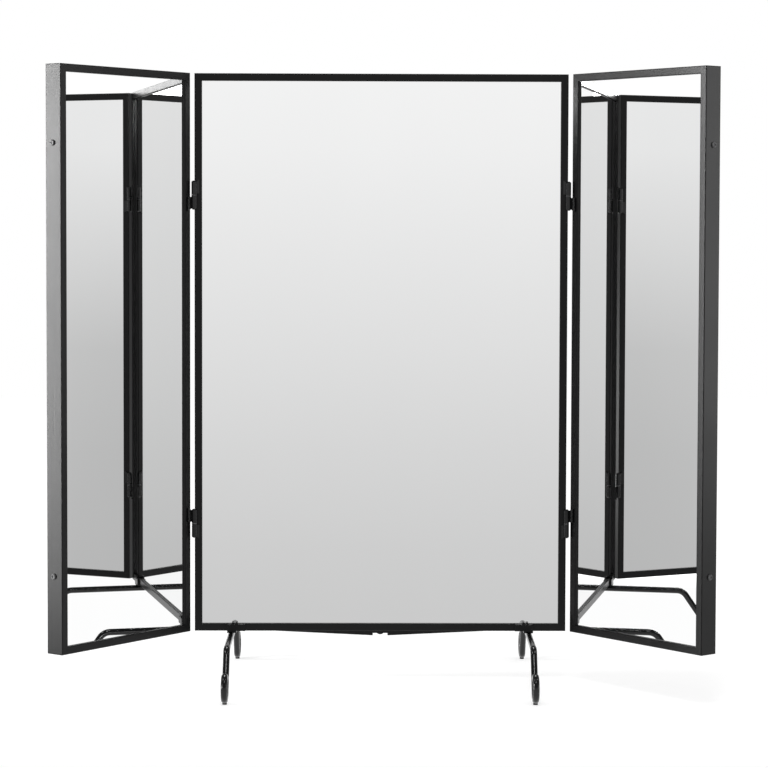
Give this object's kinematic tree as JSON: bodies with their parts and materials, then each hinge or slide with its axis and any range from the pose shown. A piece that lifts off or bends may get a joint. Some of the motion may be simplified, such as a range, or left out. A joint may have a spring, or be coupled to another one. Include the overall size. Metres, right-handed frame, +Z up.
{
  "type": "three-part table mirror",
  "caption": "Standing table mirror with a fixed centre panel and hinged side wings in slim black steel frames, carried on scrolled rod feet.",
  "frame": {"origin": "on the table, under the middle of the whole mirror as pictured, with the wings swung forward", "axes": "+X to the right as seen from the front, +Y to the back, +Z up"},
  "size_m": [0.7713, 0.3601, 0.74],
  "materials": {
    "frame_black": "semi-gloss black powder coat",
    "screw_dark": "blackened steel",
    "pin_steel": "turned, lightly oiled",
    "mirror": "silvered float glass",
    "board": "fibreboard, painted matt black",
    "tape": "closed-cell foam mounting tape",
    "pad": "matt black rubber"
  },
  "bodies": {
    "centre": {"centre_frame": "frame_black", "centre_glass": "mirror", "centre_mirror_tape": "tape", "centre_backing_board": "board", "centre_panel_screws": "screw_dark", "bottom_crest": "frame_black", "left_top_hinge_centre_knuckle": "frame_black", "left_top_hinge_pin": "pin_steel", "left_top_hinge_washer": "pin_steel", "left_bottom_hinge_centre_knuckle": "frame_black", "left_bottom_hinge_pin": "pin_steel", "left_bottom_hinge_washer": "pin_steel", "left_foot": "frame_black", "left_foot_clip": "frame_black", "left_foot_screws": "screw_dark", "left_foot_pads": "pad", "right_top_hinge_centre_knuckle": "frame_black", "right_top_hinge_pin": "pin_steel", "right_top_hinge_washer": "pin_steel", "right_bottom_hinge_centre_knuckle": "frame_black", "right_bottom_hinge_pin": "pin_steel", "right_bottom_hinge_washer": "pin_steel", "right_foot": "frame_black", "right_foot_clip": "frame_black", "right_foot_screws": "screw_dark", "right_foot_pads": "pad"},
    "left_wing": {"left_frame": "frame_black", "left_glass": "mirror", "left_mirror_tape": "tape", "left_backing_board": "board", "left_panel_screws": "screw_dark", "left_top_hinge_wing_knuckle": "frame_black", "left_bottom_hinge_wing_knuckle": "frame_black"},
    "right_wing": {"right_frame": "frame_black", "right_glass": "mirror", "right_mirror_tape": "tape", "right_backing_board": "board", "right_panel_screws": "screw_dark", "right_top_hinge_wing_knuckle": "frame_black", "right_bottom_hinge_wing_knuckle": "frame_black"}
  },
  "joints": [
    {"name": "left_wing_swing", "type": "hinge", "parent": "centre", "child": "left_wing", "pos_m": [-0.2262, -0.00671, 0.4], "axis": [0, 0, 1], "range_deg": [-57.5, 128]},
    {"name": "right_wing_swing", "type": "hinge", "parent": "centre", "child": "right_wing", "pos_m": [0.2262, -0.00671, 0.4], "axis": [0, 0, -1], "range_deg": [-56.9, 128.6]}
  ]
}
